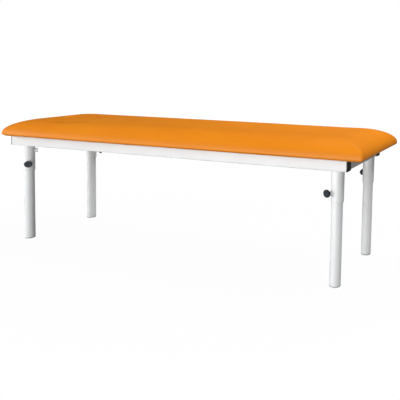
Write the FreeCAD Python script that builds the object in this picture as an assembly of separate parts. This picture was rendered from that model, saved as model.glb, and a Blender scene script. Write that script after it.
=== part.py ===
import FreeCAD, Part
import math
import os

from FreeCAD import Vector

# A massage table on four height-adjustable legs. Millimetres, +Z up, +X from the head end to the foot end.
# The origin is on the floor under the middle of the pad, with the legs pushed fully in.

# Pad
PAD_LENGTH = 1900.0
PAD_WIDTH = 700.0
PAD_THICKNESS = 88.0
PAD_CORNER = 12.0
EDGE_ROUND = 18.0  # small round under the pad's widest line
CROWN_REACH = 160.0  # how far in from the edge the top has sloped up to level
CROWN_POWER = 1.7  # 2 is an ellipse, 1 is a straight slope
COVER_THICKNESS = 1.5
HEM_WIDTH = 62.0  # how far the cover is folded under the pad
FOAM_GAP = 0.3
BOARD_THICKNESS = 15.0

# Face hole and its plug
HOLE_INSET = 270.0  # middle of the hole in from the head end
HOLE_SEMI_X = 105.0
HOLE_SEMI_Y = 75.0
HOLE_ROLL = 14.0  # radius over which the cover rolls into the hole
HOLE_ROLL_DEGREES = 75.0  # how far round the roll goes before it meets the pad's top
HOLE_LEDGE = 12.0  # rim of the board that carries the plug
PLUG_GAP = 2.0
PLUG_SINK = 2.0  # how far the plug's middle lies under the pad's top
PLUG_BASE_THICKNESS = 9.0
PLUG_CROWN_HEIGHT = 14.0
PLUG_CROWN_REACH = 26.0
PLUG_SEAT_GAP = 0.3

# Frame
LEG_INSET_X = 120.0  # leg axis in from the pad's end
LEG_INSET_Y = 77.5  # leg axis in from the pad's side
FRAME_UNDERSIDE = 493.0
RAIL_DEPTH = 60.0
RAIL_HEIGHT = 50.0
TUBE_WALL = 2.0
RAIL_CORNER = 4.0
HEAD_OVERRUN = 90.0  # rail beyond the leg axis at the head end
FOOT_OVERRUN = 42.0  # rail beyond the leg axis at the foot end
CROSS_RAIL_WIDTH = 40.0
CROSS_RAIL_SETBACK = 2.0

# Rail end caps
CAP_LIP = 4.5
CAP_LIP_ROUND = 1.5
CAP_PLUG_DEPTH = 18.0
CAP_PLUG_WALL = 2.0
CAP_FIN_HEIGHT = 0.8
CAP_FIN_WIDTH = 1.6
CAP_FIN_COUNT = 3

# Leg sleeves, oval tube welded under the rails
SLEEVE_SEMI_X = 26.5
SLEEVE_SEMI_Y = 36.0
SLEEVE_LENGTH = 129.0
SLEEVE_TOP_PLATE = 4.0
GUSSET_THICKNESS = 4.0
GUSSET_REACH = 17.0
GUSSET_DROP = 9.0
GUSSET_TIP = 2.5
GUSSET_OFFSET = 16.0

# Legs, oval tube sliding in the sleeves
LEG_PLAY = 1.5  # room between sleeve and leg that the plastic guides fill
GUIDE_GAP = 0.3
FIT_GAP = 0.05
BUSH_LIP = 2.5
BUSH_LIP_INSET = 0.5
BUSH_BOSS_MARGIN = 4.0
GLIDE_RIM = 3.0
GLIDE_PLUG_DEPTH = 16.0
PLUG_WALL = 2.5
FOOT_LIP = 5.0
FOOT_CHAMFER = 1.2
FOOT_PLUG_DEPTH = 28.0
FOOT_RIB = 3.0

# Clamp knob, its threaded boss and its stud
KNOB_ABOVE_MOUTH = 36.0
KNOB_NORMAL_DEGREES = -45.0  # outwards and towards the middle of the table
KNOB_TURN_DEGREES = 10.0
BOSS_RADIUS = 10.0
BOSS_CHAMFER = 1.0
KNOB_BOSS_LENGTH = 10.0
KNOB_BOSS_GAP = 1.0
KNOB_SEMI_WIDTH = 21.5
KNOB_SEMI_HEIGHT = 16.5
KNOB_THICKNESS = 12.0
KNOB_FRONT_ROUND = 4.5
KNOB_BACK_ROUND = 2.5
KNOB_DISH_DEPTH = 0.8
HUB_RADIUS = 7.5
HUB_LENGTH = 8.0
STUD_RADIUS = 5.0
STUD_EMBED = 8.0
STUD_TIP_RADIUS = 3.5
STUD_TIP_LENGTH = 1.6
STUD_TIP_GAP = 0.3

# Stop screw above the leg tube
STOP_DROP = 27.0
STOP_NORMAL_DEGREES = 35.0  # inwards and towards the middle of the table
STOP_BOSS_LENGTH = 14.0
STOP_SCREW_RADIUS = 4.0
STOP_SCREW_BITE = 4.0
STOP_SCREW_RECESS = 1.5
STOP_GAP = 0.3
SOCKET_RADIUS = 2.3
SOCKET_DEPTH = 4.0

# Pad fixings
BOLTS_PER_RAIL = 4
BOLT_END_INSET = 170.0
BOLT_RADIUS = 3.0
BOLT_CLEARANCE = 0.25
BOLT_HEAD_RADIUS = 6.0
BOLT_HEAD_HEIGHT = 4.0
ACCESS_RADIUS = 7.5
TEE_BARREL_RADIUS = 4.0
TEE_BARREL_LENGTH = 10.0
TEE_FLANGE_RADIUS = 9.5
TEE_FLANGE_THICKNESS = 1.4

# Heights and lengths that follow from the sizes above
FRAME_TOP = FRAME_UNDERSIDE + RAIL_HEIGHT
PAD_TOP = FRAME_TOP + PAD_THICKNESS
BOARD_BOTTOM = FRAME_TOP + COVER_THICKNESS
BOARD_TOP = BOARD_BOTTOM + BOARD_THICKNESS
HOLE_CENTRE_X = HOLE_INSET - PAD_LENGTH / 2
LEG_SPACING_X = PAD_LENGTH - 2 * LEG_INSET_X
LEG_SPACING_Y = PAD_WIDTH - 2 * LEG_INSET_Y
SLEEVE_MOUTH = FRAME_UNDERSIDE - SLEEVE_LENGTH
KNOB_HEIGHT = SLEEVE_MOUTH + KNOB_ABOVE_MOUTH
STOP_HEIGHT = FRAME_UNDERSIDE - STOP_DROP
GLIDE_TOP = STOP_HEIGHT - STOP_SCREW_RADIUS - STOP_GAP
LEG_TOP = GLIDE_TOP - GLIDE_RIM
LEG_SEMI_X = SLEEVE_SEMI_X - TUBE_WALL - LEG_PLAY
LEG_SEMI_Y = SLEEVE_SEMI_Y - TUBE_WALL - LEG_PLAY
RAIL_START = -LEG_SPACING_X / 2 - HEAD_OVERRUN
RAIL_END = LEG_SPACING_X / 2 + FOOT_OVERRUN
RAIL_CENTRE_Y = LEG_SPACING_Y / 2
RAIL_INNER_Y = RAIL_CENTRE_Y - RAIL_DEPTH / 2
RAIL_CENTRE_Z = FRAME_UNDERSIDE + RAIL_HEIGHT / 2

ORIGIN = Vector(0, 0, 0)
ALONG = Vector(1, 0, 0)
ACROSS = Vector(0, 1, 0)
UP = Vector(0, 0, 1)
ENDS = {"left": -1, "right": 1}
SIDES = {"front": -1, "rear": 1}
CROWN_STEPS = (15, 30, 45, 60, 75, 90)
ROUND_STEPS = (90, 60, 30, 0)
HOLE_STEPS = (0, 30, 60, 85)


def rounded_outline(centre, across, up, width, height, radius):
    """Closed wire of a rectangle with round corners, in the plane of across and up."""

    def point(quarter, degrees):
        sign_across = (1, -1, -1, 1)[quarter]
        sign_up = (1, 1, -1, -1)[quarter]
        reach_across = sign_across * (width / 2 - radius) + radius * math.cos(math.radians(degrees))
        reach_up = sign_up * (height / 2 - radius) + radius * math.sin(math.radians(degrees))
        return centre + across * reach_across + up * reach_up

    edges = []
    for quarter in range(4):
        start = 90 * quarter
        first = point(quarter, start)
        middle = point(quarter, start + 45)
        last = point(quarter, start + 90)
        following = point((quarter + 1) % 4, start + 90)
        edges.append(Part.Arc(first, middle, last).toShape())
        edges.append(Part.LineSegment(last, following).toShape())
    return Part.Wire(edges)


def oval(semi_x, semi_y, height, centre_x=0.0):
    """Closed wire of an ellipse, level at a height."""
    centre = Vector(centre_x, 0, height)
    ends = [centre + ALONG * semi_x, centre + ACROSS * semi_y]
    if semi_y > semi_x:
        ends.reverse()
    return Part.Wire(Part.Ellipse(ends[0], ends[1], centre).toShape())


def prism(outline, direction):
    return Part.Face(outline).extrude(direction)


def oval_prism(semi_x, semi_y, bottom, top, centre_x=0.0):
    return prism(oval(semi_x, semi_y, bottom, centre_x), UP * (top - bottom))


def oval_tube(semi_x, semi_y, wall, bottom, top):
    outside = oval_prism(semi_x, semi_y, bottom, top)
    return outside.cut(oval_prism(semi_x - wall, semi_y - wall, bottom, top))


def upright_cylinder(radius, bottom, top, x=0.0, y=0.0):
    return Part.makeCylinder(radius, top - bottom, Vector(x, y, bottom), UP)


def normal_at(degrees):
    return Vector(math.cos(math.radians(degrees)), math.sin(math.radians(degrees)), 0)


def sleeve_point(normal):
    """Where the sleeve's outside faces along a level direction."""
    x = SLEEVE_SEMI_X ** 2 * normal.x
    y = SLEEVE_SEMI_Y ** 2 * normal.y
    scale = math.hypot(SLEEVE_SEMI_X * normal.x, SLEEVE_SEMI_Y * normal.y)
    return Vector(x / scale, y / scale, 0)


def depth_to_oval(semi_x, semi_y, normal):
    """Distance from the sleeve's outside, straight in along the normal, to an oval on the same axis."""
    start = sleeve_point(normal)
    square = (normal.x / semi_x) ** 2 + (normal.y / semi_y) ** 2
    middle = start.x * normal.x / semi_x ** 2 + start.y * normal.y / semi_y ** 2
    rest = (start.x / semi_x) ** 2 + (start.y / semi_y) ** 2 - 1
    return (middle - math.sqrt(middle ** 2 - square * rest)) / square


def on_sleeve(shape, degrees, height):
    """Turns a shape's +Z to point straight out of the sleeve, with its own zero on the sleeve's outside."""
    normal = normal_at(degrees)
    turn = FreeCAD.Rotation(UP.cross(normal), UP, normal, "ZXY")
    placed = shape.copy()
    placed.Placement = FreeCAD.Placement(sleeve_point(normal) + UP * height, turn)
    return placed


def at_corner(shape, end, side):
    """Puts a leg's shape at one corner, its +X towards the table's middle and its +Y inwards."""
    if end > 0:
        shape = shape.mirror(ORIGIN, ALONG)
    if side > 0:
        shape = shape.mirror(ORIGIN, ACROSS)
    return shape.translated(Vector(end * LEG_SPACING_X / 2, side * LEG_SPACING_Y / 2, 0))


def box_tube(start, direction, length, width):
    """Rectangular tube of the frame, as tall as the rails, starting at a point on its centre line."""
    across = UP.cross(direction)
    outside = rounded_outline(start, across, UP, width, RAIL_HEIGHT, RAIL_CORNER)
    inner_width = width - 2 * TUBE_WALL
    inner_height = RAIL_HEIGHT - 2 * TUBE_WALL
    inside = rounded_outline(start, across, UP, inner_width, inner_height, RAIL_CORNER - TUBE_WALL)
    return prism(outside, direction * length).cut(prism(inside, direction * length))


def bolt_places():
    first = RAIL_START + BOLT_END_INSET
    pitch = (RAIL_END - BOLT_END_INSET - first) / (BOLTS_PER_RAIL - 1)
    columns = [first + pitch * index for index in range(BOLTS_PER_RAIL)]
    return [(x, side * RAIL_CENTRE_Y) for side in SIDES.values() for x in columns]


def long_rail(side):
    centre = Vector(RAIL_START, side * RAIL_CENTRE_Y, RAIL_CENTRE_Z)
    rail = box_tube(centre, ALONG, RAIL_END - RAIL_START, RAIL_DEPTH)
    for x, y in bolt_places():
        if y * side > 0:
            access = upright_cylinder(ACCESS_RADIUS, FRAME_UNDERSIDE, RAIL_CENTRE_Z, x, y)
            hole = upright_cylinder(BOLT_RADIUS + BOLT_CLEARANCE, RAIL_CENTRE_Z, FRAME_TOP, x, y)
            rail = rail.cut(access).cut(hole)
    return rail


def cross_rail(centre_x):
    return box_tube(Vector(centre_x, -RAIL_INNER_Y, RAIL_CENTRE_Z), ACROSS, 2 * RAIL_INNER_Y, CROSS_RAIL_WIDTH)


def cap_fins():
    """Thin ribs round the cap's plug that grip the rail's inside."""
    reach = CAP_PLUG_DEPTH - 2 * CAP_FIN_WIDTH
    for index in range(CAP_FIN_COUNT):
        start = -CAP_PLUG_DEPTH + CAP_FIN_WIDTH + reach * index / CAP_FIN_COUNT
        width = RAIL_DEPTH - 2 * TUBE_WALL - 2 * FIT_GAP
        height = RAIL_HEIGHT - 2 * TUBE_WALL - 2 * FIT_GAP
        outline = rounded_outline(ALONG * start, ACROSS, UP, width, height, RAIL_CORNER - TUBE_WALL)
        yield prism(outline, ALONG * CAP_FIN_WIDTH)


def rail_cap(end, side):
    """Plastic cap with a lip over the rail's end and a hollow plug inside it."""
    lip = prism(rounded_outline(ORIGIN, ACROSS, UP, RAIL_DEPTH, RAIL_HEIGHT, RAIL_CORNER), ALONG * CAP_LIP)
    outer_edges = [edge for edge in lip.Edges if edge.BoundBox.XMin > CAP_LIP / 2]
    lip = lip.makeFillet(CAP_LIP_ROUND, outer_edges)
    margin = TUBE_WALL + CAP_FIN_HEIGHT
    plug_width = RAIL_DEPTH - 2 * margin
    plug_height = RAIL_HEIGHT - 2 * margin
    radius = RAIL_CORNER - TUBE_WALL
    plug = prism(rounded_outline(ORIGIN, ACROSS, UP, plug_width, plug_height, radius), -ALONG * CAP_PLUG_DEPTH)
    hollow_width = plug_width - 2 * CAP_PLUG_WALL
    hollow_height = plug_height - 2 * CAP_PLUG_WALL
    hollow = prism(rounded_outline(ORIGIN, ACROSS, UP, hollow_width, hollow_height, radius / 2),
                   -ALONG * CAP_PLUG_DEPTH)
    cap = lip.fuse([plug] + list(cap_fins())).cut(hollow).removeSplitter()
    if end < 0:
        cap = cap.mirror(ORIGIN, ALONG)
    rail_end = RAIL_END if end > 0 else RAIL_START
    return cap.translated(Vector(rail_end, side * RAIL_CENTRE_Y, RAIL_CENTRE_Z))


def boss(length):
    """Round boss rooted in the sleeve's wall, with a small chamfer round its open end."""
    cylinder = Part.makeCylinder(BOSS_RADIUS, length + SLEEVE_SEMI_X / 2, Vector(0, 0, -SLEEVE_SEMI_X / 2), UP)
    rim = [edge for edge in cylinder.Edges if edge.BoundBox.ZMin > length / 2]
    return cylinder.makeChamfer(BOSS_CHAMFER, rim)


def gusset():
    """Small tapered web between the sleeve and the rail, on the side of the table's middle."""
    tip = SLEEVE_SEMI_X + GUSSET_REACH
    corners = [(0, 0), (tip, 0), (tip, -GUSSET_TIP), (SLEEVE_SEMI_X / 2, -GUSSET_DROP), (0, -GUSSET_DROP)]
    y = GUSSET_OFFSET - GUSSET_THICKNESS / 2
    outline = Part.makePolygon([Vector(x, y, FRAME_UNDERSIDE + z) for x, z in corners + corners[:1]])
    return prism(outline, ACROSS * GUSSET_THICKNESS)


def leg_sleeve():
    """Oval sleeve with its closing plate, gusset and two threaded bosses, welded into one."""
    body = oval_prism(SLEEVE_SEMI_X, SLEEVE_SEMI_Y, SLEEVE_MOUTH, FRAME_UNDERSIDE)
    knob_boss = on_sleeve(boss(KNOB_BOSS_LENGTH), KNOB_NORMAL_DEGREES, KNOB_HEIGHT)
    stop_boss = on_sleeve(boss(STOP_BOSS_LENGTH), STOP_NORMAL_DEGREES, STOP_HEIGHT)
    body = body.fuse([knob_boss, stop_boss, gusset()])
    inside = oval_prism(SLEEVE_SEMI_X - TUBE_WALL, SLEEVE_SEMI_Y - TUBE_WALL,
                        SLEEVE_MOUTH, FRAME_UNDERSIDE - SLEEVE_TOP_PLATE)
    knob_bore = bore(STUD_RADIUS + FIT_GAP, KNOB_BOSS_LENGTH)
    stop_bore = bore(STOP_SCREW_RADIUS + FIT_GAP, STOP_BOSS_LENGTH)
    body = body.cut(inside)
    body = body.cut(on_sleeve(knob_bore, KNOB_NORMAL_DEGREES, KNOB_HEIGHT))
    return body.cut(on_sleeve(stop_bore, STOP_NORMAL_DEGREES, STOP_HEIGHT)).removeSplitter()


def bore(radius, boss_length):
    depth = SLEEVE_SEMI_X / 2
    return Part.makeCylinder(radius, boss_length + 2 * depth, Vector(0, 0, -depth), UP)


def guide_bush():
    """Plastic liner in the sleeve's mouth, with a lip under the sleeve's edge."""
    depth = KNOB_ABOVE_MOUTH - BOSS_RADIUS - BUSH_BOSS_MARGIN
    inner_x = SLEEVE_SEMI_X - TUBE_WALL - FIT_GAP
    inner_y = SLEEVE_SEMI_Y - TUBE_WALL - FIT_GAP
    liner = oval_prism(inner_x, inner_y, SLEEVE_MOUTH, SLEEVE_MOUTH + depth)
    lip = oval_prism(SLEEVE_SEMI_X - BUSH_LIP_INSET, SLEEVE_SEMI_Y - BUSH_LIP_INSET,
                     SLEEVE_MOUTH - BUSH_LIP, SLEEVE_MOUTH)
    passage = oval_prism(LEG_SEMI_X + GUIDE_GAP, LEG_SEMI_Y + GUIDE_GAP,
                         SLEEVE_MOUTH - BUSH_LIP, SLEEVE_MOUTH + depth)
    return liner.fuse(lip).cut(passage).removeSplitter()


def stop_screw():
    """Socket set screw whose tip reaches over the leg and stops it going further in."""
    wall = depth_to_oval(SLEEVE_SEMI_X - TUBE_WALL, SLEEVE_SEMI_Y - TUBE_WALL, normal_at(STOP_NORMAL_DEGREES))
    tip = -(wall + STOP_SCREW_BITE)
    head = STOP_BOSS_LENGTH - STOP_SCREW_RECESS
    screw = Part.makeCylinder(STOP_SCREW_RADIUS, head - tip, Vector(0, 0, tip), UP)
    screw = screw.makeChamfer(BOSS_CHAMFER, [edge for edge in screw.Edges if edge.BoundBox.ZMax < head / 2])
    corners = [normal_at(60 * index) * SOCKET_RADIUS + UP * (head - SOCKET_DEPTH) for index in range(6)]
    socket = prism(Part.makePolygon(corners + corners[:1]), UP * SOCKET_DEPTH)
    return on_sleeve(screw.cut(socket), STOP_NORMAL_DEGREES, STOP_HEIGHT)


def leg_tube():
    return oval_tube(LEG_SEMI_X, LEG_SEMI_Y, TUBE_WALL, FOOT_LIP, LEG_TOP)


def tube_plug(bottom, top):
    """Hollow plug that fills the leg tube's end."""
    semi_x = LEG_SEMI_X - TUBE_WALL - FIT_GAP
    semi_y = LEG_SEMI_Y - TUBE_WALL - FIT_GAP
    return oval_tube(semi_x, semi_y, PLUG_WALL, bottom, top)


def leg_glide():
    """Plastic head on the leg tube that guides it inside the sleeve."""
    rim = oval_prism(SLEEVE_SEMI_X - TUBE_WALL - GUIDE_GAP, SLEEVE_SEMI_Y - TUBE_WALL - GUIDE_GAP,
                     LEG_TOP, GLIDE_TOP)
    return rim.fuse(tube_plug(LEG_TOP - GLIDE_PLUG_DEPTH, LEG_TOP)).removeSplitter()


def foot_cap():
    """Foot with a lip under the tube, a hollow plug inside it and a cross rib."""
    lip = oval_prism(LEG_SEMI_X, LEG_SEMI_Y, 0, FOOT_LIP)
    lip = lip.makeChamfer(FOOT_CHAMFER, [edge for edge in lip.Edges if edge.BoundBox.ZMax < FOOT_LIP / 2])
    top = FOOT_LIP + FOOT_PLUG_DEPTH
    width = 2 * (LEG_SEMI_X - TUBE_WALL - PLUG_WALL)
    rib = Part.makeBox(width, FOOT_RIB, FOOT_PLUG_DEPTH, Vector(-width / 2, -FOOT_RIB / 2, FOOT_LIP))
    return lip.fuse([tube_plug(FOOT_LIP, top), rib]).removeSplitter()


def knob_grip():
    """Oval hand grip, rounded all over and slightly dished in front, with a hub behind it."""
    back = KNOB_BOSS_LENGTH + KNOB_BOSS_GAP + HUB_LENGTH
    front = back + KNOB_THICKNESS
    head = oval_prism(KNOB_SEMI_WIDTH, KNOB_SEMI_HEIGHT, back, front)
    head = head.makeFillet(KNOB_FRONT_ROUND, [edge for edge in head.Edges if edge.BoundBox.ZMin > back])
    head = head.makeFillet(KNOB_BACK_ROUND, [edge for edge in head.Edges if edge.BoundBox.ZMax < back + FIT_GAP])
    inner_width = KNOB_SEMI_WIDTH - KNOB_FRONT_ROUND
    dish_radius = (inner_width ** 2 + KNOB_DISH_DEPTH ** 2) / (2 * KNOB_DISH_DEPTH)
    dish = Part.makeSphere(dish_radius, Vector(0, 0, front - KNOB_DISH_DEPTH + dish_radius))
    hub = Part.makeCylinder(HUB_RADIUS, HUB_LENGTH + KNOB_BACK_ROUND, Vector(0, 0, back - HUB_LENGTH), UP)
    socket = Part.makeCylinder(STUD_RADIUS + FIT_GAP, HUB_LENGTH + STUD_EMBED, Vector(0, 0, back - HUB_LENGTH), UP)
    grip = head.cut(dish).fuse(hub).cut(socket).removeSplitter()
    grip.rotate(ORIGIN, UP, KNOB_TURN_DEGREES)
    return on_sleeve(grip, KNOB_NORMAL_DEGREES, KNOB_HEIGHT)


def knob_stud():
    """Steel stud moulded into the grip, with a narrower tip that bears on the leg tube."""
    tip = STUD_TIP_GAP - depth_to_oval(LEG_SEMI_X, LEG_SEMI_Y, normal_at(KNOB_NORMAL_DEGREES))
    end = KNOB_BOSS_LENGTH + KNOB_BOSS_GAP + HUB_LENGTH + STUD_EMBED - FIT_GAP
    shoulder = tip + STUD_TIP_LENGTH
    profile = [(0, tip), (STUD_TIP_RADIUS, tip), (STUD_TIP_RADIUS, shoulder), (STUD_RADIUS, shoulder),
               (STUD_RADIUS, end), (0, end)]
    outline = Part.makePolygon([Vector(x, 0, z) for x, z in profile + profile[:1]])
    return on_sleeve(Part.Face(outline).revolve(ORIGIN, UP, 360), KNOB_NORMAL_DEGREES, KNOB_HEIGHT)


def crown(inset, reach, height, power):
    """Insets and rises along a slope that starts upright at the edge and ends level."""
    for degrees in CROWN_STEPS:
        step_in = (reach - inset) * (1 - math.cos(math.radians(degrees)) ** (2 / power))
        rise = (height - inset) * math.sin(math.radians(degrees)) ** (2 / power)
        yield inset + step_in, rise


def pad_outline(step_in, height):
    width = PAD_LENGTH - 2 * step_in
    depth = PAD_WIDTH - 2 * step_in
    return rounded_outline(UP * height, ALONG, ACROSS, width, depth, PAD_CORNER + step_in / 2)


def pad_form(inset):
    """The pad's outside without its hole, in from the full size: small round below, long crowned slope above."""
    widest = FRAME_TOP + EDGE_ROUND
    radius = EDGE_ROUND - inset
    round_outlines = []
    for degrees in ROUND_STEPS:
        step_in = inset + radius * (1 - math.cos(math.radians(degrees)))
        round_outlines.append(pad_outline(step_in, widest - radius * math.sin(math.radians(degrees))))
    crown_outlines = [pad_outline(inset, widest)]
    for step_in, rise in crown(inset, CROWN_REACH, PAD_THICKNESS - EDGE_ROUND, CROWN_POWER):
        crown_outlines.append(pad_outline(step_in, widest + rise))
    return Part.makeLoft(round_outlines, True).fuse(Part.makeLoft(crown_outlines, True))


def hole_form(inset):
    """Everything that the face hole takes out of the pad above its board, wider by the inset."""
    semi_x = HOLE_SEMI_X + inset
    semi_y = HOLE_SEMI_Y + inset
    centre = PAD_TOP - HOLE_ROLL * math.sin(math.radians(HOLE_ROLL_DEGREES))
    radius = HOLE_ROLL - inset
    outlines = []
    for degrees in HOLE_STEPS:
        spread = radius * (1 - math.cos(math.radians(degrees)))
        height = centre + radius * math.sin(math.radians(degrees))
        outlines.append(oval(semi_x + spread, semi_y + spread, height, HOLE_CENTRE_X))
    return oval_prism(semi_x, semi_y, BOARD_TOP, centre, HOLE_CENTRE_X).fuse(Part.makeLoft(outlines, True))


def pad_solid(inset):
    return pad_form(inset).cut(hole_form(inset))


def pad_board():
    """Plywood base with the face hole's ledge, bolt holes and seats for the tee nuts."""
    board = prism(pad_outline(EDGE_ROUND, BOARD_BOTTOM), UP * BOARD_THICKNESS)
    board = board.cut(oval_prism(HOLE_SEMI_X - HOLE_LEDGE, HOLE_SEMI_Y - HOLE_LEDGE,
                                 BOARD_BOTTOM, BOARD_TOP, HOLE_CENTRE_X))
    seat = BOARD_TOP - TEE_FLANGE_THICKNESS - FIT_GAP
    for x, y in bolt_places():
        board = board.cut(upright_cylinder(TEE_BARREL_RADIUS + FIT_GAP, BOARD_BOTTOM, BOARD_TOP, x, y))
        board = board.cut(upright_cylinder(TEE_FLANGE_RADIUS + FIT_GAP, seat, BOARD_TOP, x, y))
    return board


def pad_foam():
    board_space = prism(pad_outline(EDGE_ROUND, FRAME_TOP), UP * (BOARD_TOP - FRAME_TOP))
    return pad_solid(COVER_THICKNESS + FOAM_GAP).cut(board_space)


def pad_cover():
    """Upholstery skin over the foam, rolled into the face hole and folded under the board."""
    window = prism(pad_outline(HEM_WIDTH, FRAME_TOP), UP * COVER_THICKNESS)
    return pad_solid(0).cut(pad_solid(COVER_THICKNESS)).cut(window)


def plug_base():
    semi_x = HOLE_SEMI_X - PLUG_GAP
    semi_y = HOLE_SEMI_Y - PLUG_GAP
    bottom = BOARD_TOP + PLUG_SEAT_GAP
    return oval_prism(semi_x, semi_y, bottom, bottom + PLUG_BASE_THICKNESS, HOLE_CENTRE_X)


def plug_cushion():
    """Cushion of the face hole's plug: upright sides and a crowned top."""
    semi_x = HOLE_SEMI_X - PLUG_GAP
    semi_y = HOLE_SEMI_Y - PLUG_GAP
    bottom = BOARD_TOP + PLUG_SEAT_GAP + PLUG_BASE_THICKNESS + FOAM_GAP
    shoulder = PAD_TOP - PLUG_SINK - PLUG_CROWN_HEIGHT
    outlines = [oval(semi_x, semi_y, shoulder, HOLE_CENTRE_X)]
    for step_in, rise in crown(0, PLUG_CROWN_REACH, PLUG_CROWN_HEIGHT, 2):
        outlines.append(oval(semi_x - step_in, semi_y - step_in, shoulder + rise, HOLE_CENTRE_X))
    sides = oval_prism(semi_x, semi_y, bottom, shoulder, HOLE_CENTRE_X)
    return sides.fuse(Part.makeLoft(outlines, True)).removeSplitter()


def pad_bolt(x, y):
    """Bolt from inside the rail, its head under the rail's upper wall."""
    seat = FRAME_TOP - TUBE_WALL
    shank = upright_cylinder(BOLT_RADIUS, seat, BOARD_TOP - TEE_FLANGE_THICKNESS, x, y)
    head = upright_cylinder(BOLT_HEAD_RADIUS, seat - BOLT_HEAD_HEIGHT, seat, x, y)
    return head.fuse(shank).removeSplitter()


def tee_nut(x, y):
    """Flanged nut let into the board's upper face."""
    barrel = upright_cylinder(TEE_BARREL_RADIUS, BOARD_TOP - TEE_BARREL_LENGTH, BOARD_TOP, x, y)
    flange = upright_cylinder(TEE_FLANGE_RADIUS, BOARD_TOP - TEE_FLANGE_THICKNESS, BOARD_TOP, x, y)
    hole = upright_cylinder(BOLT_RADIUS + FIT_GAP, BOARD_TOP - TEE_BARREL_LENGTH, BOARD_TOP, x, y)
    return barrel.fuse(flange).cut(hole).removeSplitter()


def frame_nodes():
    half_width = CROSS_RAIL_WIDTH / 2
    nodes = {
        "left_cross_rail": cross_rail(RAIL_START + CROSS_RAIL_SETBACK + half_width),
        "centre_cross_rail": cross_rail((RAIL_START + RAIL_END) / 2),
        "right_cross_rail": cross_rail(RAIL_END - CROSS_RAIL_SETBACK - half_width),
    }
    for side_name, side in SIDES.items():
        nodes[f"{side_name}_rail"] = long_rail(side)
        for end_name, end in ENDS.items():
            nodes[f"{side_name}_{end_name}_rail_cap"] = rail_cap(end, side)
    return nodes


def leg_nodes():
    pieces = {
        "leg_sleeve": leg_sleeve(),
        "guide_bush": guide_bush(),
        "stop_screw": stop_screw(),
        "leg_tube": leg_tube(),
        "leg_glide": leg_glide(),
        "foot_cap": foot_cap(),
        "clamp_knob": knob_grip(),
        "clamp_stud": knob_stud(),
    }
    nodes = {}
    for side_name, side in SIDES.items():
        for end_name, end in ENDS.items():
            for name, shape in pieces.items():
                nodes[f"{side_name}_{end_name}_{name}"] = at_corner(shape, end, side)
    return nodes


def pad_nodes():
    return {
        "pad_board": pad_board(),
        "pad_foam": pad_foam(),
        "pad_cover": pad_cover(),
        "face_plug_base": plug_base(),
        "face_plug_cushion": plug_cushion(),
        "pad_bolts": Part.makeCompound([pad_bolt(x, y) for x, y in bolt_places()]),
        "pad_tee_nuts": Part.makeCompound([tee_nut(x, y) for x, y in bolt_places()]),
    }


def main():
    os.makedirs("parts", exist_ok=True)
    nodes = {**frame_nodes(), **leg_nodes(), **pad_nodes()}
    for name, shape in nodes.items():
        shape.exportStep(f"parts/{name}.step")
        print(name, len(shape.Solids), round(shape.Volume), shape.isValid())


if __name__ == "__main__":
    main()
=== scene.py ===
import math

import bpy
import numpy as np
from mathutils import Matrix, Vector


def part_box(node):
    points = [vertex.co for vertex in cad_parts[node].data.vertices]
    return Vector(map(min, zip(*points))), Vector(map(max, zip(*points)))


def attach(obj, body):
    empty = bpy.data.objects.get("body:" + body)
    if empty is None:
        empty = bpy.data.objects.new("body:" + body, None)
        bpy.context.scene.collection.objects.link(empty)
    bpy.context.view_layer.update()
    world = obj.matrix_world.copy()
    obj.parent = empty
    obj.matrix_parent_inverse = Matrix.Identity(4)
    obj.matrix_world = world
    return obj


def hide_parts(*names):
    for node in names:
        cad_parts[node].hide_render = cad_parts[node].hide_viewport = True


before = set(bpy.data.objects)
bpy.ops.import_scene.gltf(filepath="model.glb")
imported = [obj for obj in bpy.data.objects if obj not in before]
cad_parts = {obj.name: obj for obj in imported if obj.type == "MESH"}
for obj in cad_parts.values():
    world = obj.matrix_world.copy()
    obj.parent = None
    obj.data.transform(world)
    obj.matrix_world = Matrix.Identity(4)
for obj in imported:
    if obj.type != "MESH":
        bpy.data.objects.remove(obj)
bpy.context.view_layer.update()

bl_info = {
    "name": "Massage table",
    "version": (1, 0, 0),
    "blender": (4, 5, 0),
    "location": "3D View > Sidebar > Massage table",
    "description": "Dresses the packed frame of a massage table with upholstery, weld beads and finishes",
    "category": "Object",
}

MM = 0.001
SEAT_GAP = 0.2 * MM  # under the upholstery, where it rests on the frame or the ledge
SKIN_GAP = 0.3 * MM  # between the cover's closing inside and the board
HOLE_GAP = 2 * MM  # between the plug and the wall of the face hole
DENT_CENTRE = np.array((-0.612, -0.208))
DENT_SEMI = np.array((0.135, 0.070))
PLUG_SETTLE = 1.5 * MM  # what the plug's cloth may swell, so its shape starts lower by this
SEAM_INSET = 0.8 * MM  # the plug's side is in from the full oval
SLEEVE_SEMI = (26.5 * MM, 36 * MM)
SLEEVE_BEAD = 2.2 * MM
BEAD_REACH = 27 * MM  # the sleeve's bead ends here in Y, short of the rail's edges
CROSS_BEAD = 1.9 * MM
CROSS_BEAD_DROP = 2.4 * MM  # the cross rail's bead stays under its top, where the board lies
FLOOR_REACH = 40.0
PAD_LOW, PAD_HIGH = (np.array(corner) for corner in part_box("pad_cover"))
BOARD_LOW, BOARD_HIGH = (np.array(corner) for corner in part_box("pad_board"))
PLUG_LOW, PLUG_HIGH = (np.array(corner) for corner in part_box("face_plug_cushion"))
CORNERS = [f"{side}_{end}" for side in ("front", "rear") for end in ("left", "right")]


# Colours and materials


def linear(colour):
    """Linear RGBA of an sRGB hex colour: c / 12.92 below 0.04045, else ((c + 0.055) / 1.055) ^ 2.4."""
    channels = [int(colour[i:i + 2], 16) / 255 for i in (0, 2, 4)]
    return [c / 12.92 if c <= 0.04045 else ((c + 0.055) / 1.055) ** 2.4 for c in channels] + [1.0]


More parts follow.
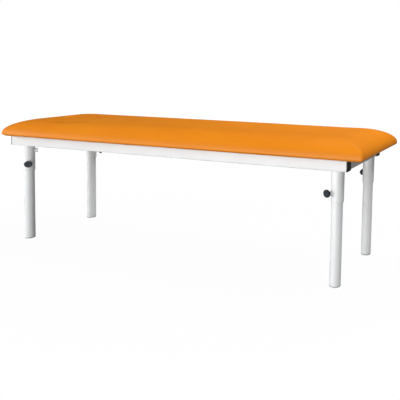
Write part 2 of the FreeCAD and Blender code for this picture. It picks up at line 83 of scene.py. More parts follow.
def add(owner, kind, settings=None, **inputs):
    """Adds a node. Settings are its own properties; inputs are values or other nodes' outputs for its sockets."""
    tree = owner.node_tree
    node = tree.nodes.new(kind)
    for name, value in (settings or {}).items():
        setattr(node, name, value)
    for name, value in inputs.items():
        key = int(name[1:]) if name[0] == "_" else name.replace("_", " ")
        if isinstance(value, bpy.types.NodeSocket):
            tree.links.new(value, node.inputs[key])
        else:
            node.inputs[key].default_value = value
    return node


def shader(name, **values):
    """A new material with one Principled shader, whose plain values are set on its own sockets."""
    material = bpy.data.materials.new(name)
    material.use_nodes = True
    principled = material.node_tree.nodes["Principled BSDF"]
    for key, value in values.items():
        principled.inputs[key.replace("_", " ")].default_value = value
    return material, principled


def ramp(material, factor, low, high, colour_low, colour_high):
    """Colour that goes from one to the other while the factor goes from low to high."""
    node = add(material, "ShaderNodeValToRGB", _0=factor)
    node.color_ramp.elements[0].position = low
    node.color_ramp.elements[1].position = high
    node.color_ramp.elements[0].color = colour_low
    node.color_ramp.elements[1].color = colour_high
    return node.outputs["Color"]


def grey(value):
    return [value, value, value, 1.0]


def link(owner, output, node, socket):
    owner.node_tree.links.new(output, node.inputs[socket])


def seen_plainly(owner):
    """1 for the rays of the camera and of transmission, else 0."""
    rays = add(owner, "ShaderNodeLightPath").outputs
    return add(owner, "ShaderNodeMath", {"operation": "MAXIMUM"}, _0=rays["Is Camera Ray"],
               _1=rays["Is Transmission Ray"]).outputs[0]


def dress(material, principled, tint, rough, height, strength, depth):
    """Plugs a colour and a roughness in, and a bump of some strength and depth that is driven by a height."""
    link(material, tint, principled, "Base Color")
    link(material, rough, principled, "Roughness")
    bump = add(material, "ShaderNodeBump", Strength=strength, Distance=depth, Height=height)
    link(material, bump.outputs["Normal"], principled, "Normal")
    return material


def upholstery_vinyl(colour, deep):
    """PVC-coated upholstery cloth, embossed with a fine hide grain and stretched tight: soft, even gloss."""
    material, principled = shader("upholstery_vinyl", Specular_IOR_Level=0.4, IOR=1.5)
    place = add(material, "ShaderNodeTexCoord").outputs["Object"]
    # Hide grain is about 1 mm; cells of 4 mm still show at the size of the picture.
    grain = add(material, "ShaderNodeTexVoronoi", {"feature": "DISTANCE_TO_EDGE"}, Vector=place,
                Scale=1 / (4 * MM))
    pores = add(material, "ShaderNodeTexNoise", Vector=place, Scale=1 / (9 * MM), Detail=3.0, Roughness=0.6)
    # Slow change of tone from the cloth's dye and the foam's give, over about 250 mm.
    tone = add(material, "ShaderNodeTexNoise", Vector=place, Scale=4.0, Detail=2.0, Roughness=0.5)
    tint = ramp(material, tone.outputs["Fac"], 0.35, 0.7, linear(deep), linear(colour))
    rough = ramp(material, pores.outputs["Fac"], 0.3, 0.75, grey(0.44), grey(0.56))
    edge = ramp(material, grain.outputs["Distance"], 0.0, 0.16, grey(0.0), grey(1.0))
    height = add(material, "ShaderNodeMath", {"operation": "ADD"}, _0=edge, _1=pores.outputs["Fac"])
    return dress(material, principled, tint, rough, height.outputs[0], 0.22, 0.25 * MM)


def powder_coat(name, colour, shade):
    """Baked polyester powder on steel: satin, with the slight ripple called orange peel."""
    material, principled = shader(name, Specular_IOR_Level=0.5, IOR=1.5)
    place = add(material, "ShaderNodeTexCoord").outputs["Object"]
    # The ripple is about 2 mm from crest to crest.
    peel = add(material, "ShaderNodeTexNoise", Vector=place, Scale=1 / (5 * MM), Detail=2.0, Roughness=0.45)
    cloud = add(material, "ShaderNodeTexNoise", Vector=place, Scale=7.0, Detail=3.0, Roughness=0.5)
    tint = ramp(material, cloud.outputs["Fac"], 0.3, 0.7, linear(shade), linear(colour))
    rough = ramp(material, peel.outputs["Fac"], 0.3, 0.7, grey(0.34), grey(0.44))
    return dress(material, principled, tint, rough, peel.outputs["Fac"], 0.1, 0.2 * MM)


def moulded_plastic(name, colour, shade, rough, grit):
    """Injection-moulded plastic with the fine spark-eroded grain of its tool and faint flow clouds."""
    material, principled = shader(name, Specular_IOR_Level=0.3, IOR=1.49)
    place = add(material, "ShaderNodeTexCoord").outputs["Object"]
    grain = add(material, "ShaderNodeTexNoise", Vector=place, Scale=1 / grit, Detail=4.0, Roughness=0.65)
    flow = add(material, "ShaderNodeTexNoise", Vector=place, Scale=55.0, Detail=1.0, Roughness=0.5)
    tint = ramp(material, flow.outputs["Fac"], 0.3, 0.7, linear(shade), linear(colour))
    rough = ramp(material, grain.outputs["Fac"], 0.3, 0.7, grey(rough - 0.05), grey(rough + 0.06))
    return dress(material, principled, tint, rough, grain.outputs["Fac"], 0.2, 0.1 * MM)


def zinc_plate():
    """Bright zinc plate on turned steel: pale metal with fine turning marks and cloudy roughness."""
    material, principled = shader("zinc_plate", Metallic=1.0)
    place = add(material, "ShaderNodeTexCoord").outputs["Object"]
    cloud = add(material, "ShaderNodeTexNoise", Vector=place, Scale=1 / (4 * MM), Detail=3.0, Roughness=0.6)
    marks = add(material, "ShaderNodeTexNoise", Vector=place, Scale=1 / (0.8 * MM), Detail=2.0, Roughness=0.5)
    tint = ramp(material, cloud.outputs["Fac"], 0.3, 0.7, linear("B4B7BA"), linear("CDD0D2"))
    rough = ramp(material, cloud.outputs["Fac"], 0.3, 0.7, grey(0.28), grey(0.42))
    return dress(material, principled, tint, rough, marks.outputs["Fac"], 0.12, 0.08 * MM)


def birch_plywood():
    """Lacquered birch plywood: long pale grain on the faces, thin plies showing at the cut edges."""
    material, principled = shader("birch_plywood", Specular_IOR_Level=0.4, IOR=1.5)
    place = add(material, "ShaderNodeTexCoord").outputs["Object"]
    # Rings cut lengthways: lines about 6 mm apart across the board, drawn out 20 times along it.
    stretched = add(material, "ShaderNodeMapping", Vector=place, Scale=(1.5, 30.0, 30.0))
    rings = add(material, "ShaderNodeTexNoise", Vector=stretched.outputs[0], Scale=5.0, Detail=6.0,
                Roughness=0.62, Distortion=0.6)
    face = ramp(material, rings.outputs["Fac"], 0.32, 0.68, linear("B98F5E"), linear("DCBB8B"))
    # Plies are 1.5 mm thick, so light and dark repeat every 3 mm of height.
    plies = add(material, "ShaderNodeTexWave", {"bands_direction": "Z"}, Vector=place,
                Scale=2 * math.pi / (3 * MM) / 20)
    cut = ramp(material, plies.outputs["Fac"], 0.35, 0.65, linear("8F6A41"), linear("D9BC90"))
    normal = add(material, "ShaderNodeNewGeometry").outputs["Normal"]
    height = add(material, "ShaderNodeSeparateXYZ", _0=normal).outputs["Z"]
    level = add(material, "ShaderNodeMath", {"operation": "ABSOLUTE"}, _0=height).outputs[0]
    mixed = add(material, "ShaderNodeMix", {"data_type": "RGBA"}, _0=level, _6=cut, _7=face)
    rough = ramp(material, rings.outputs["Fac"], 0.3, 0.7, grey(0.5), grey(0.62))
    return dress(material, principled, mixed.outputs[2], rough, rings.outputs["Fac"], 0.25, 0.2 * MM)


# Meshes


def grid_faces(rows, columns, close_rows=False):
    """Quads of a grid whose columns run round and close; its rows close too where asked."""
    r = np.arange(rows if close_rows else rows - 1)[:, None]
    c = np.arange(columns)[None, :]
    below = (r + 1) % rows
    beside = (c + 1) % columns
    corners = [r * columns + c, r * columns + beside, below * columns + beside, below * columns + c]
    return np.stack([np.broadcast_to(k, (len(r), columns)) for k in corners], axis=-1).reshape(-1, 4)


def make_piece(name, shape, material, body):
    """A smooth piece that rides a body, from a shape: points, quads and, if it has them, triangles."""
    points, *parts = shape
    mesh = bpy.data.meshes.new(name)
    faces = [face for part in parts for face in part.tolist()]
    mesh.from_pydata(points.reshape(-1, 3).tolist(), [], faces)
    mesh.shade_smooth()
    mesh.validate()
    obj = bpy.data.objects.new(name, mesh)
    bpy.context.scene.collection.objects.link(obj)
    mesh.materials.append(material)
    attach(obj, body)
    return obj


def pointed(rings):
    """Points, quads and triangles of rings (rows x columns x 3), closed at both ends by middle points."""
    rows, columns = rings.shape[:2]
    points = np.vstack([rings.reshape(-1, 3), rings[0].mean(0), rings[-1].mean(0)])
    c = np.arange(columns)
    beside = (c + 1) % columns
    first = np.stack([beside, c, np.full(columns, rows * columns)], axis=-1)
    last = np.stack([c, beside, np.full(columns, rows * columns + 1)], axis=-1)
    last[:, :2] += (rows - 1) * columns
    return points, grid_faces(rows, columns), np.vstack([first, last])


def tube(path, radius, sides=8):
    """A closed tube: round the path, point + radius (cos a * across + sin a * up), with across = tangent x up."""
    path = np.asarray(path, float)
    tangent = np.roll(path, -1, 0) - np.roll(path, 1, 0)
    tangent /= np.linalg.norm(tangent, axis=1)[:, None]
    spread = path - path.mean(0)
    up = np.linalg.svd(spread, full_matrices=False)[2][2]
    across = np.cross(tangent, up)
    across /= np.linalg.norm(across, axis=1)[:, None]
    up = np.cross(across, tangent)
    a = np.linspace(0, 2 * math.pi, sides, endpoint=False)
    spokes = np.cos(a)[None, :, None] * across[:, None] + np.sin(a)[None, :, None] * up[:, None]
    rings = path[:, None] + radius * spokes
    return rings.reshape(-1, 3), grid_faces(len(path), sides, close_rows=True)


def outline(inset, radius, height, counts=(130, 44, 12)):
    """Rounded rectangle, the pad's plan moved in by the inset: its corners are centre + r (cos t, sin t)."""
    long_count, short_count, corner_count = counts
    half = (PAD_HIGH - PAD_LOW)[:2] / 2 - inset
    middle = (PAD_HIGH + PAD_LOW)[:2] / 2
    centre = half - radius
    pieces = []
    for quarter, (sx, sy) in enumerate(((1, 1), (-1, 1), (-1, -1), (1, -1))):
        t = math.pi / 2 * (quarter + np.linspace(0, 1, corner_count))
        arc = np.array([sx, sy]) * centre + radius * np.stack([np.cos(t), np.sin(t)], axis=-1)
        pieces.append(arc)
        count = long_count if quarter % 2 == 0 else short_count
        nx, ny = ((-1, 1), (-1, -1), (1, -1), (1, 1))[quarter]
        turn = math.pi / 2 * (quarter + 1)
        after = np.array([nx, ny]) * centre + radius * np.array([math.cos(turn), math.sin(turn)])
        step = np.linspace(0, 1, count + 2)[1:-1, None]
        pieces.append(arc[-1] * (1 - step) + after * step)
    plan = np.vstack(pieces) + middle
    return np.column_stack([plan, np.full(len(plan), height)])


def ellipse(angles, semi, middle, height):
    return np.stack([middle[0] + semi[0] * np.cos(angles), middle[1] + semi[1] * np.sin(angles),
                     np.full(len(angles), height)], axis=-1)


def smooth_step(x):
    """0 up to x = 0, 1 from x = 1 on, and x^2 (3 - 2 x) between."""
    x = np.clip(x, 0, 1)
    return x ** 2 * (3 - 2 * x)


def inflate(obj, held, cap, share, pressure=4.0, frames=20):
    """Blows the piece up as cloth with some points held, then caps each point's move and takes its share."""
    group = obj.vertex_groups.new(name="held")
    group.add(np.flatnonzero(held).tolist(), 1.0, "REPLACE")
    cloth = obj.modifiers.new("cloth", "CLOTH")
    cloth.settings.quality = 5
    cloth.settings.mass = 0.4
    cloth.settings.tension_stiffness = 20
    cloth.settings.compression_stiffness = 20
    cloth.settings.shear_stiffness = 10
    cloth.settings.bending_stiffness = 2
    cloth.settings.use_pressure = True
    cloth.settings.uniform_pressure_force = pressure
    cloth.settings.vertex_group_mass = "held"
    cloth.settings.effector_weights.gravity = 0
    scene = bpy.context.scene
    for number in range(1, frames + 1):
        scene.frame_set(number)
    shape = obj.evaluated_get(bpy.context.evaluated_depsgraph_get()).to_mesh()
    count = len(obj.data.vertices)
    after = np.empty(count * 3)
    shape.vertices.foreach_get("co", after)
    before = np.empty(count * 3)
    obj.data.vertices.foreach_get("co", before)
    moved = (after - before).reshape(-1, 3)
    length = np.linalg.norm(moved, axis=1)[:, None] + 1e-9
    moved *= np.minimum(1, cap * np.tanh(length / cap) / length) * share[:, None]
    obj.modifiers.remove(cloth)
    obj.vertex_groups.remove(group)
    obj.data.vertices.foreach_set("co", (before.reshape(-1, 3) + moved).ravel())
    obj.data.update()
    scene.frame_set(1)


def subdivide(obj):
    smooth = obj.modifiers.new("smooth", "SUBSURF")
    smooth.levels = smooth.render_levels = 1


# Settings shown in the sidebar


class PadSettings(bpy.types.PropertyGroup):
    edge_round: bpy.props.FloatProperty(
        name="Edge round", description="Radius under the pad's widest line", default=12 * MM, unit="LENGTH")
    bulge: bpy.props.FloatProperty(
        name="Bulge", description="How far the foam pushes the cover out at its widest line", default=3 * MM,
        unit="LENGTH")
    crown_reach: bpy.props.FloatProperty(
        name="Crown reach", description="How far in from the edge the top is level", default=160 * MM,
        unit="LENGTH")
    foot_reach: bpy.props.FloatProperty(
        name="Foot reach", description="The same at the foot end, which is fuller", default=118 * MM,
        unit="LENGTH")
    crown_power: bpy.props.FloatProperty(
        name="Crown power", description="1 is a straight slope and 2 an ellipse", default=2.0)
    corner: bpy.props.FloatProperty(
        name="Corner", description="Radius of the corners seen from above", default=12 * MM, unit="LENGTH")
    hole_roll: bpy.props.FloatProperty(
        name="Hole roll", description="Radius with which the cover rolls into the face hole", default=14 * MM,
        unit="LENGTH")
    hem: bpy.props.FloatProperty(
        name="Hem", description="Width of the cover folded under the pad", default=62 * MM, unit="LENGTH")
    swell: bpy.props.FloatProperty(
        name="Swell", description="Most that the cloth may swell", default=3 * MM, unit="LENGTH")
    dent: bpy.props.FloatProperty(
        name="Dent", description="Depth of the worn place near the head end", default=11 * MM, unit="LENGTH")


class PlugSettings(bpy.types.PropertyGroup):
    crown: bpy.props.FloatProperty(
        name="Crown", description="Height of the plug's crown", default=14 * MM, unit="LENGTH")
    reach: bpy.props.FloatProperty(
        name="Reach", description="How far in from the plug's edge its top is level", default=26 * MM,
        unit="LENGTH")


class FinishSettings(bpy.types.PropertyGroup):
    vinyl: bpy.props.StringProperty(name="Vinyl", description="Upholstery colour, sRGB hex", default="E28614")
    vinyl_deep: bpy.props.StringProperty(
        name="Vinyl, deep", description="Upholstery colour where it is deepest", default="DE8110")
    coat: bpy.props.StringProperty(name="Powder coat", description="Frame colour, sRGB hex", default="EDEFF0")
    coat_shade: bpy.props.StringProperty(
        name="Powder coat, shade", description="Frame colour in its darker clouds", default="E9EBEC")
    # The rails' coat is painted shade: the legs' white powder coat painted darker, standing in for the shade
    # under the pad's overhang, cross rails included.
    rail_coat_painted_shade: bpy.props.StringProperty(
        name="Rail coat", description="Colour of the rails, painted darker than the legs as shade under the pad",
        default="DFE1E2")
    rail_clouds_painted_shade: bpy.props.StringProperty(
        name="Rail coat, shade", description="Rail colour in its darker clouds", default="DBDDDE")


class StageSettings(bpy.types.PropertyGroup):
    camera_place: bpy.props.FloatVectorProperty(
        name="Camera", description="Where the camera stands", default=(1.5904, -3.0197, 0.9415),
        subtype="TRANSLATION", unit="LENGTH")
    turn: bpy.props.FloatProperty(
        name="Turn", description="Camera's turn to the left of the table's width", default=math.radians(26.45),
        subtype="ANGLE")
    dip: bpy.props.FloatProperty(
        name="Dip", description="How far the camera looks down", default=math.radians(5.273), subtype="ANGLE")
    lean: bpy.props.FloatProperty(
        name="Lean", description="How far the camera leans", default=math.radians(0.583), subtype="ANGLE")
    lens: bpy.props.FloatProperty(name="Lens", description="Focal length in millimetres", default=60.97)
    shift: bpy.props.FloatVectorProperty(
        name="Shift", description="Lens shift across and up", default=(-0.0215, -0.1902), size=2)


# Pieces


def crown_height(settings, plan):
    """Height of the pad's top over points of its plan.

    A point's inset d is where it lies on the outline moved in by d, found by halving: its distance to the
    rounded rectangle of half size h - d and corner c + d/2 is zero. The height is then
    widest + rise (1 - (1 - d/reach)^p)^(1/p).
    At the foot end lengths are stretched by reach over foot reach first.
    """
    half = (PAD_HIGH - PAD_LOW)[:2] / 2
    middle = (PAD_HIGH + PAD_LOW)[:2] / 2
    offset = np.abs(plan - middle)
    fuller = half[0] - (half[0] - offset[:, 0]) * settings.crown_reach / settings.foot_reach
    offset[:, 0] = np.where(plan[:, 0] > middle[0], np.maximum(fuller, 0), offset[:, 0])
    low, high = np.zeros(len(plan)), np.full(len(plan), settings.crown_reach)
    for _ in range(30):
        inset = (low + high) / 2
        radius = settings.corner + inset / 2
        out = offset - (half[None] - inset[:, None] - radius[:, None])
        distance = np.hypot(*np.maximum(out, 0).T) + np.minimum(out.max(axis=1), 0) - radius
        low = np.where(distance < 0, inset, low)
        high = np.where(distance < 0, high, inset)
    widest = PAD_LOW[2] + settings.edge_round
    slope = 1 - (1 - np.clip(low / settings.crown_reach, 0, 1)) ** settings.crown_power
    return widest + (PAD_HIGH[2] - widest) * slope ** (1 / settings.crown_power)


def edge_rings(settings):
    """The pad's skin from the hem over the edge to the start of its crown, as rounded rectangles.

    Under the widest line: inset r (1 - cos a), height r (1 - sin a). Above it the height follows the crown.
    """
    low = PAD_LOW[2] + SEAT_GAP
    r = settings.edge_round
    rings = []
    for inset in np.linspace(settings.hem, r, 5)[:-1]:
        rings.append(outline(inset, settings.corner + inset / 2, low))
    for a in np.radians(np.linspace(90, 0, 8)):
        inset = r * (1 - math.cos(a)) - settings.bulge * math.cos(a)
        rings.append(outline(inset, settings.corner, low + r * (1 - math.sin(a))))
    for a in np.radians(np.linspace(6, 42, 7)):
        inset = settings.crown_reach * (1 - math.cos(a) ** (2 / settings.crown_power))
        ring = outline(inset, settings.corner + inset / 2, 0)
        ring[:, 2] = crown_height(settings, ring[:, :2])
        out = settings.bulge * math.cos(a) ** 3
        ring[:, :2] = outline(inset - out, settings.corner + inset / 2, 0)[:, :2]
        rings.append(ring)
    return rings


def hole_rings(settings, edge, angles, semi, middle):
    """The crowned top narrowed to the face hole, its roll (semi axes + R (1 - cos a)) and its wall."""
    roll = settings.hole_roll
    floor = BOARD_HIGH[2] + SKIN_GAP
    mouth = ellipse(angles, semi + roll, middle, 0)
    rings = []
    # Rows lie closer together near the edge, where the crown bends most.
    for step in (np.exp(2.2 * np.linspace(0, 1, 34)[1:]) - 1) / (math.exp(2.2) - 1):
        ring = edge * (1 - step) + mouth * step
        ring[:, 2] = crown_height(settings, ring[:, :2])
        rings.append(ring)
    lip = rings[-1][:, 2]
    for a in np.radians(np.linspace(90, 0, 9)[1:]):
        ring = ellipse(angles, semi + roll * (1 - math.cos(a)), middle, 0)
        ring[:, 2] = lip - roll * (1 - math.sin(a))
        rings.append(ring)
    wall = rings[-1]
    for step in (0.33, 0.67, 1.0):
        ring = wall.copy()
        ring[:, 2] = wall[:, 2] * (1 - step) + floor * step
        rings.append(ring)
    return rings


def under_rings(settings, angles, semi, middle):
    """The skin's closing inside: over the board's top, down its edge and back under it to the hem."""
    inset = BOARD_LOW[0] - PAD_LOW[0] - 0.4 * MM
    over = BOARD_HIGH[2] + SKIN_GAP
    under = BOARD_LOW[2] - SKIN_GAP
    edge = outline(inset, settings.corner, over)
    start = ellipse(angles, semi, middle, over)
    rings = [start * (1 - step) + edge * step for step in (0.03, 0.25, 0.5, 0.75, 0.97, 1.0)]
    for height in np.linspace(over, under, 4)[1:]:
        rings.append(outline(inset, settings.corner, height))
    for step_in in np.linspace(inset, settings.hem, 5)[1:]:
        rings.append(outline(step_in, settings.corner + step_in / 2, under))
    return rings


def dented(points, settings):
    """Lowers the worn place near the head end: depth times 1 - q^2 where q = (x/a)^2 + (y/b)^2 is below 1."""
    q = (((points[:, :2] - DENT_CENTRE) / DENT_SEMI) ** 2).sum(axis=1)
    upper = points[:, 2] > (PAD_LOW[2] + PAD_HIGH[2]) / 2
    points[:, 2] -= settings.dent * np.clip(1 - q ** 2, 0, 1) * upper
    return points


class MakePad(bpy.types.Operator):
    """Upholstered pad: a crowned closed skin with a rolled face hole, swollen as cloth and folded under"""

    bl_idname = "massage_table.pad"
    bl_label = "Pad"

    def execute(self, context):
        settings = context.scene.table_pad
        middle = (PLUG_LOW + PLUG_HIGH)[:2] / 2
        semi = (PLUG_HIGH - PLUG_LOW)[:2] / 2 + HOLE_GAP
        rings = edge_rings(settings)
        edge = rings[-1]
        # Points of the hole's rings sit between those straight in from the edge and those spread evenly.
        half = (PAD_HIGH - PAD_LOW)[:2] / 2
        straight = np.unwrap(np.arctan2((edge[:, 1] - middle[1]) / semi[1], (edge[:, 0] - middle[0]) / semi[0]))
        even = np.unwrap(np.arctan2(edge[:, 1] / half[1], edge[:, 0] / half[0]))
        even += 2 * math.pi * np.round((straight[0] - even[0]) / (2 * math.pi))
        angles = 0.75 * straight + 0.25 * even
        rings += hole_rings(settings, edge, angles, semi, middle)
        outside = len(rings)
        rings += under_rings(settings, angles, semi, middle)
        rows = np.array(rings)
        # The hem, the hole with its roll and the closing inside are held while the top and edge swell.
        held = np.ones(rows.shape[:2], bool)
        held[5:outside - 4] = False
        held |= np.linalg.norm((rows[:, :, :2] - middle) / (semi + 2 * settings.hole_roll), axis=-1) < 1
        points = dented(rows.reshape(-1, 3), settings)
        # The swell fades out towards the face hole, and the top starts lower by what it swells.
        apart = np.linalg.norm((points[:, :2] - middle) / (semi + settings.hole_roll), axis=1)
        share = smooth_step((apart - 1) / 2)
        level = np.clip((points[:, 2] - PAD_LOW[2] - 30 * MM) / (40 * MM), 0, 1)
        points[:, 2] -= 0.9 * settings.swell * share * level * (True)
        shape = points, grid_faces(len(rows), rows.shape[1], close_rows=True)
        pad = make_piece("pad_upholstery", shape, bpy.data.materials["upholstery_vinyl"], "frame")
        inflate(pad, held.ravel(), settings.swell, share)
        subdivide(pad)
        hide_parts("pad_cover", "pad_foam")
        return {"FINISHED"}


class MakePlug(bpy.types.Operator):
    """Face plug: a small crowned cushion with a piped seam, which fills the face hole"""

    bl_idname = "massage_table.plug"
    bl_label = "Face plug"

    def execute(self, context):
        middle = (PLUG_LOW + PLUG_HIGH)[:2] / 2
        semi = (PLUG_HIGH - PLUG_LOW)[:2] / 2
        side = semi - SEAM_INSET
        low, high = PLUG_LOW[2] + SEAT_GAP, PLUG_HIGH[2]
        crown, reach = context.scene.face_plug.crown, context.scene.face_plug.reach
        shoulder = high - crown
        angles = np.linspace(0, 2 * math.pi, 96, endpoint=False)
        rings = [ellipse(angles, semi * s, middle, low) for s in (0.05, 0.3, 0.6, 0.85)]
        rings += [ellipse(angles, side, middle, z) for z in np.linspace(low, shoulder, 7)]
        # Over the crown: inset reach (1 - cos a), height crown sin a; then level to the middle.
        for a in np.radians(np.linspace(10, 90, 9)):
            rings.append(ellipse(angles, side - reach * (1 - math.cos(a)), middle,
                                 shoulder + (crown - PLUG_SETTLE) * math.sin(a)))
        rings += [ellipse(angles, (semi - reach) * s, middle, high - PLUG_SETTLE) for s in (0.6, 0.2)]
        shape = pointed(np.array(rings))
        vinyl = bpy.data.materials["upholstery_vinyl"]
        plug = make_piece("face_plug_upholstery", shape, vinyl, "face_plug")
        inflate(plug, shape[0][:, 2] < shoulder - 2 * MM, PLUG_SETTLE, np.ones(len(shape[0])))
        subdivide(plug)
        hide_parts("face_plug_cushion")
        around = np.linspace(0, 2 * math.pi, 160, endpoint=False)
        # The piping is 3.2 mm through and sits on the seam between the plug's side and crown.
        piped = tube(ellipse(around, semi - 0.6 * MM, middle, shoulder - 1 * MM), 1.6 * MM)
        piping = make_piece("face_plug_piping", piped, vinyl, "face_plug")
        return {"FINISHED"}


class FinishFrame(bpy.types.Operator):
    """Finishes of the frame, legs, knobs, caps, feet, board and fixings"""

    bl_idname = "massage_table.frame"
    bl_label = "Frame finishes"

    def execute(self, context):
        materials = bpy.data.materials
        # Parts ending in _rail take the rails' coat: the white powder coat painted darker as painted shade.
        finishes = {
            "rail_cap": "black_polyethylene", "guide_bush": "natural_nylon", "leg_glide": "natural_nylon",
            "foot_cap": "grey_polyethylene", "clamp_knob": "slate_nylon", "clamp_stud": "zinc_plate",
            "stop_screw": "zinc_plate", "pad_bolts": "zinc_plate", "pad_tee_nuts": "zinc_plate",
            "pad_board": "birch_plywood", "face_plug_base": "birch_plywood", "_rail": "powder_coat_rails_painted_shade",
            "pad_cover": "upholstery_vinyl", "pad_foam": "upholstery_vinyl", "cushion": "upholstery_vinyl",
        }
        for name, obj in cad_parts.items():
            found = [finish for ending, finish in finishes.items() if name.endswith(ending)]
            obj.data.materials.clear()
            obj.data.materials.append(materials[found[0] if found else "powder_coat_white"])
        return {"FINISHED"}


class MakeWelds(bpy.types.Operator):
    """Weld beads round the sleeves under the rails, and round both ends of each cross rail"""

    bl_idname = "massage_table.welds"
    bl_label = "Weld beads"

    def execute(self, context):
        coat = bpy.data.materials["powder_coat_white"]
        t = np.linspace(0, 2 * math.pi, 120, endpoint=False)
        for corner in CORNERS:
            low, high = (np.array(c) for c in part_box(f"{corner}_leg_tube"))
            centre = (low + high) / 2
            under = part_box(f"{corner}_leg_sleeve")[1][2]
            path = ellipse(t, SLEEVE_SEMI, centre, under)
            path[:, 1] = np.clip(path[:, 1], centre[1] - BEAD_REACH, centre[1] + BEAD_REACH)
            bead = tube(path, SLEEVE_BEAD)
            make_piece(f"{corner}_sleeve_weld", bead, coat, "frame")
        for name in ("left", "centre", "right"):
            low, high = (np.array(c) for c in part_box(f"{name}_cross_rail"))
            centre, half = (low + high) / 2, (high - low) / 2
            # Round the rail's end: half sizes times cos t and sin t to the power 0.12, nearly a rectangle.
            x = centre[0] + half[0] * np.sign(np.cos(t)) * np.abs(np.cos(t)) ** 0.12
            z = centre[2] + half[2] * np.sign(np.sin(t)) * np.abs(np.sin(t)) ** 0.12
            z = np.minimum(z, high[2] - CROSS_BEAD_DROP)
            for side, y in (("front", low[1]), ("rear", high[1])):
                path = np.stack([x, np.full(len(t), y), z], axis=-1)
                bead = tube(path, CROSS_BEAD)
                make_piece(f"{name}_cross_rail_{side}_weld", bead, coat, "frame")
        return {"FINISHED"}


class MakeMaterials(bpy.types.Operator):
    """The materials of every piece"""

    bl_idname = "massage_table.materials"
    bl_label = "Materials"

    def execute(self, context):
        colours = context.scene.table_finish
        upholstery_vinyl(colours.vinyl, colours.vinyl_deep)
        powder_coat("powder_coat_white", colours.coat, colours.coat_shade)
        # The rails take the same powder coat painted darker, as painted shade for the shade under the pad's
        # overhang.
        powder_coat("powder_coat_rails_painted_shade", colours.rail_coat_painted_shade, colours.rail_clouds_painted_shade)
        moulded_plastic("black_polyethylene", "17181C", "111215", 0.45, 1.2 * MM)
        moulded_plastic("natural_nylon", "E4E4E0", "DEDEDA", 0.4, 1.5 * MM)
        moulded_plastic("grey_polyethylene", "A9ACAE", "A1A4A6", 0.5, 1.5 * MM)
        moulded_plastic("slate_nylon", "2C343E", "272E38", 0.36, 1.2 * MM)
        zinc_plate()
        birch_plywood()
        return {"FINISHED"}


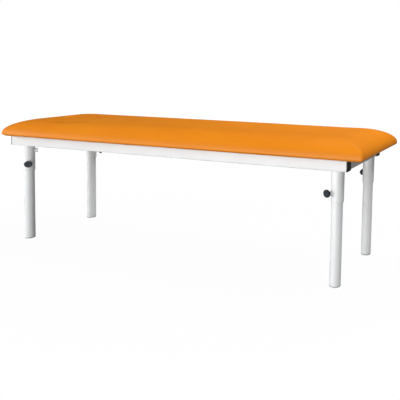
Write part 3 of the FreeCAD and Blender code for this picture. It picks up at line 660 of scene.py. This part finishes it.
class MakeStage(bpy.types.Operator):
    """Pale floor, white surround, soft studio lamps and the camera"""

    bl_idname = "massage_table.stage"
    bl_label = "Stage"

    def lamp(self, name, place, aim, size, power, mirrored=True):
        data = bpy.data.lights.new(name, "AREA")
        data.shape = "RECTANGLE"
        data.size, data.size_y = size
        data.energy = power
        obj = bpy.data.objects.new(name, data)
        obj.location = place
        obj.rotation_euler = (Vector(aim) - Vector(place)).to_track_quat("-Z", "Y").to_euler()
        obj.visible_camera = False
        obj.visible_glossy = mirrored
        bpy.context.scene.collection.objects.link(obj)

    def surround(self, scene):
        """White where it is seen, dim where it lights the table, and nearly black in gloss."""
        world = bpy.data.worlds.new("surround")
        scene.world = world
        world.use_nodes = True
        background = world.node_tree.nodes["Background"]
        background.inputs["Color"].default_value = grey(1.0)
        gloss = add(world, "ShaderNodeLightPath").outputs["Is Glossy Ray"]
        # Gloss shows hardly any of the surround, as the far side of a studio is dark.
        dimmer = add(world, "ShaderNodeMath", {"operation": "MULTIPLY"}, _0=gloss, _1=-0.12)
        seen = add(world, "ShaderNodeMath", {"operation": "ADD"}, _0=seen_plainly(world), _1=dimmer.outputs[0])
        level = add(world, "ShaderNodeMapRange", {"clamp": False}, Value=seen.outputs[0], To_Min=0.14,
                    To_Max=1.0)
        link(world, level.outputs["Result"], background, "Strength")

    def floor(self, scene):
        """A wide floor of studio paper, which is almost plain white where it is seen."""
        mesh = bpy.data.meshes.new("floor")
        corners = [(-1, -1), (1, -1), (1, 1), (-1, 1)]
        mesh.from_pydata([(FLOOR_REACH * x, FLOOR_REACH * y, 0) for x, y in corners], [], [(0, 1, 2, 3)])
        floor = bpy.data.objects.new("floor", mesh)
        scene.collection.objects.link(floor)
        material = bpy.data.materials.new("studio_paper")
        material.use_nodes = True
        material.node_tree.nodes.clear()
        paper = add(material, "ShaderNodeBsdfDiffuse", Color=linear("7C7C7C"))
        white = add(material, "ShaderNodeEmission", Color=grey(1.0), Strength=1.06)
        # The paper is lit near the table, and plain white from 6 m out, where the lamps no longer reach it.
        place = add(material, "ShaderNodeTexCoord").outputs["Object"]
        far = add(material, "ShaderNodeVectorMath", {"operation": "LENGTH"}, _0=place).outputs["Value"]
        even = add(material, "ShaderNodeMapRange", Value=far, From_Min=1.2, From_Max=6.0, To_Min=0.92,
                   To_Max=1.0)
        share = add(material, "ShaderNodeMath", {"operation": "MULTIPLY"}, _0=seen_plainly(material),
                    _1=even.outputs[0])
        mixed = add(material, "ShaderNodeMixShader", Fac=share.outputs[0], _1=paper.outputs[0],
                    _2=white.outputs[0])
        add(material, "ShaderNodeOutputMaterial", Surface=mixed.outputs[0])
        mesh.materials.append(material)

    def camera(self, scene, stage):
        """The camera from its place, turn, dip and lean."""
        camera = bpy.data.objects.new("camera", bpy.data.cameras.new("camera"))
        scene.collection.objects.link(camera)
        scene.camera = camera
        camera.data.sensor_width = 36
        camera.data.lens = stage.lens
        camera.data.shift_x, camera.data.shift_y = stage.shift
        camera.data.clip_end = 200
        turn, dip, lean = stage.turn, stage.dip, stage.lean
        forward = Vector((-math.sin(turn) * math.cos(dip), math.cos(turn) * math.cos(dip), -math.sin(dip)))
        right = Vector((math.cos(turn), math.sin(turn), 0))
        up = right.cross(forward)
        across = math.cos(lean) * right + math.sin(lean) * up
        above = math.cos(lean) * up - math.sin(lean) * right
        rotation = Matrix((across, above, -forward)).transposed()
        camera.matrix_world = Matrix.Translation(Vector(stage.camera_place)) @ rotation.to_4x4()

    def execute(self, context):
        scene = context.scene
        scene.view_settings.view_transform = "Standard"
        stage = scene.table_stage
        self.surround(scene)
        self.floor(scene)
        self.lamp("key", (0.1, -4.5, 2.2), (0, 0, 0.35), (4.8, 1.8), 54)
        self.lamp("top", (1.7, 1.3, 3.9), (0.5, 0, 0.5), (5.0, 2.6), 225, mirrored=False)
        self.lamp("low", (0.4, -3.4, 0.2), (0.3, 0, 0.45), (4.4, 0.35), 78)
        self.lamp("side", (-4.2, -1.6, 0.9), (-0.2, 0, 0.2), (1.6, 1.6), 95)
        self.lamp("back", (-1.5, 4.4, 0.8), (-0.2, 0, 0.4), (4.0, 1.0), 54, mirrored=False)

        self.camera(scene, stage)
        return {"FINISHED"}


STEPS = (MakeMaterials, FinishFrame, MakePad, MakePlug, MakeWelds, MakeStage)


class TablePanel(bpy.types.Panel):
    bl_idname = "VIEW3D_PT_massage_table"
    bl_label = "Massage table"
    bl_space_type = "VIEW_3D"
    bl_region_type = "UI"
    bl_category = "Massage table"

    def draw(self, context):
        layout = self.layout
        for group in (getattr(context.scene, name) for name in GROUPS):
            box = layout.box()
            for name in group.__annotations__:
                box.prop(group, name)
        for step in STEPS:
            layout.operator(step.bl_idname)


GROUPS = {"table_pad": PadSettings, "face_plug": PlugSettings, "table_finish": FinishSettings,
          "table_stage": StageSettings}


def register():
    for name, group in GROUPS.items():
        bpy.utils.register_class(group)
        setattr(bpy.types.Scene, name, bpy.props.PointerProperty(type=group))
    for step in (*STEPS, TablePanel):
        bpy.utils.register_class(step)


def unregister():
    for step in reversed((*STEPS, TablePanel)):
        bpy.utils.unregister_class(step)
    for name, group in GROUPS.items():
        delattr(bpy.types.Scene, name)
        bpy.utils.unregister_class(group)


def main():
    register()
    bpy.ops.massage_table.materials()
    bpy.ops.massage_table.frame()
    bpy.ops.massage_table.pad()
    bpy.ops.massage_table.plug()
    bpy.ops.massage_table.welds()
    bpy.ops.massage_table.stage()


if __name__ == "__main__":
    main()
